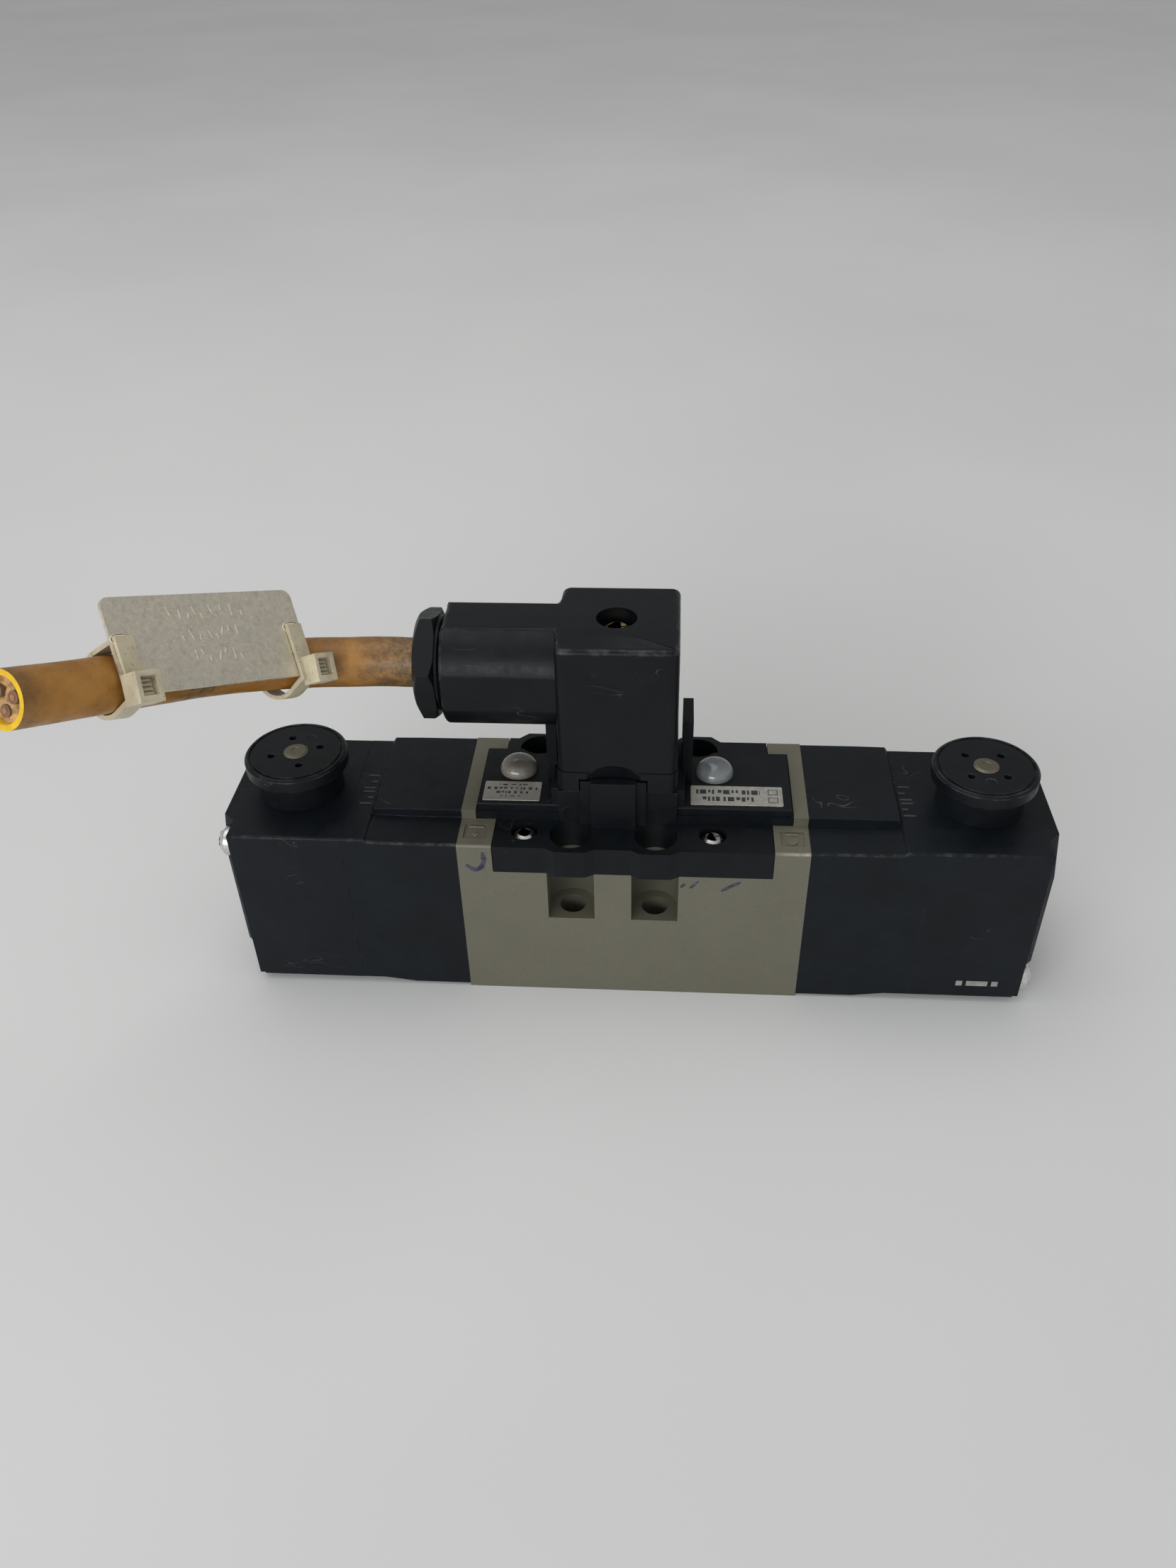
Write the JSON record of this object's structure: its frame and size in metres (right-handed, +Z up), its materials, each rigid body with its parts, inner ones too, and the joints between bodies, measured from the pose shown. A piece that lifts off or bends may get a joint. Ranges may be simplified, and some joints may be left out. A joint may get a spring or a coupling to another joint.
{
  "type": "solenoid directional valve",
  "caption": "Pilot-operated solenoid spool valve with a solenoid housing at each end, a central cable connector, domed indicator lenses, push-pin overrides and a cut cable with a tag plate.",
  "frame": {"origin": "centre of the base face, at the mouth of the supply port", "axes": "+X along the valve towards the right-hand solenoid, +Y towards the back, +Z up out of the base face"},
  "size_m": [0.2266, 0.0865, 0.1219],
  "materials": {
    "body_cast": "champagne-khaki metallic coat, satin",
    "adapter_black": "black, moulded, satin",
    "housing_black": "black, moulded, satin",
    "plate_black": "black, moulded, satin",
    "cap_black": "black, moulded, satin",
    "pin_metal": "turned, khaki coat, worn on top",
    "black_plastic": "moulded, fine texture, scuffed",
    "connector_plastic": "moulded, fine texture",
    "nut_plastic": "moulded, satin",
    "rubber": "matt",
    "screw_steel": "zinc plated, dull",
    "cover_screw_steel": "zinc plated",
    "hood_screw_brass": "worn brass",
    "sleeve_metal": "honed",
    "spool_metal": "ground",
    "magnet_steel": "turned",
    "spring_steel": "drawn wire",
    "bobbin_plastic": "moulded",
    "winding_copper": "enamelled copper wire",
    "blade_metal": "tinned",
    "board": "solder mask",
    "lamp_glass": "neon lamp",
    "lens_left_glass": "smoky domed lens",
    "lens_right_glass": "smoky domed lens",
    "label_foil": "silver foil, printed strokes",
    "cable_jacket": "orange-yellow jacket, dirty",
    "tag_steel": "stainless plate, embossed strokes",
    "tie_nylon": "natural nylon"
  },
  "bodies": {
    "valve": {"valve_body": "body_cast", "adapter_left": "adapter_black", "adapter_right": "adapter_black", "housing_left": "housing_black", "housing_right": "housing_black", "end_cover_left": "plate_black", "end_cover_right": "plate_black", "cap_left": "cap_black", "cap_right": "cap_black", "top_cover": "black_plastic", "hood": "connector_plastic", "terminal_base": "connector_plastic", "terminal_block": "connector_plastic", "gland_nut": "nut_plastic", "adapter_gasket_left": "rubber", "adapter_gasket_right": "rubber", "housing_gasket_left": "rubber", "housing_gasket_right": "rubber", "cover_gasket": "rubber", "connector_gasket": "rubber", "gland_grommet": "rubber", "end_screw_left_high": "screw_steel", "end_screw_left_low": "screw_steel", "end_screw_right_high": "screw_steel", "end_screw_right_low": "screw_steel", "adapter_screws_left": "screw_steel", "adapter_screws_right": "screw_steel", "cover_screw_left": "cover_screw_steel", "cover_screw_right": "cover_screw_steel", "hood_screw": "hood_screw_brass", "spool_sleeve": "sleeve_metal", "core_tube_left": "magnet_steel", "core_tube_right": "magnet_steel", "armature_spring_left": "spring_steel", "armature_spring_right": "spring_steel", "bobbin_left": "bobbin_plastic", "bobbin_right": "bobbin_plastic", "winding_left": "winding_copper", "winding_right": "winding_copper", "contact_blades": "blade_metal", "circuit_board": "board", "lamp_left": "lamp_glass", "lamp_right": "lamp_glass", "lens_left": "lens_left_glass", "lens_right": "lens_right_glass", "label_left": "label_foil", "label_right": "label_foil", "cable": "cable_jacket", "tag_plate": "tag_steel", "tie_near": "tie_nylon", "tie_far": "tie_nylon"},
    "spool_group": {"spool": "spool_metal", "piston_left": "spool_metal", "piston_right": "spool_metal", "piston_seal_left": "rubber", "piston_seal_right": "rubber"},
    "plunger_left": {"armature_left": "magnet_steel"},
    "plunger_right": {"armature_right": "magnet_steel"},
    "override_left": {"pin_left": "pin_metal"},
    "override_right": {"pin_right": "pin_metal"}
  },
  "joints": [
    {"name": "spool_shift", "type": "slide", "parent": "valve", "child": "spool_group", "axis": [1, 0, 0], "range_m": [0, 0.0045]},
    {"name": "plunger_left_pull", "type": "slide", "parent": "valve", "child": "plunger_left", "axis": [0, 0, -1], "range_m": [0, 0.0015], "stiffness_N_per_m": 600, "springref_m": -0.001, "deforming": ["armature_spring_left"]},
    {"name": "plunger_right_pull", "type": "slide", "parent": "valve", "child": "plunger_right", "axis": [0, 0, -1], "range_m": [0, 0.0015], "stiffness_N_per_m": 600, "springref_m": -0.001, "deforming": ["armature_spring_right"]},
    {"name": "override_left_press", "type": "slide", "parent": "valve", "child": "override_left", "axis": [0, 0, -1], "range_m": [0, 0.0015]},
    {"name": "override_right_press", "type": "slide", "parent": "valve", "child": "override_right", "axis": [0, 0, -1], "range_m": [0, 0.0015]}
  ],
  "couplings": [
    {"joint": "override_left_press", "follows": "plunger_left_pull", "ratio": 1},
    {"joint": "override_right_press", "follows": "plunger_right_pull", "ratio": 1}
  ]
}
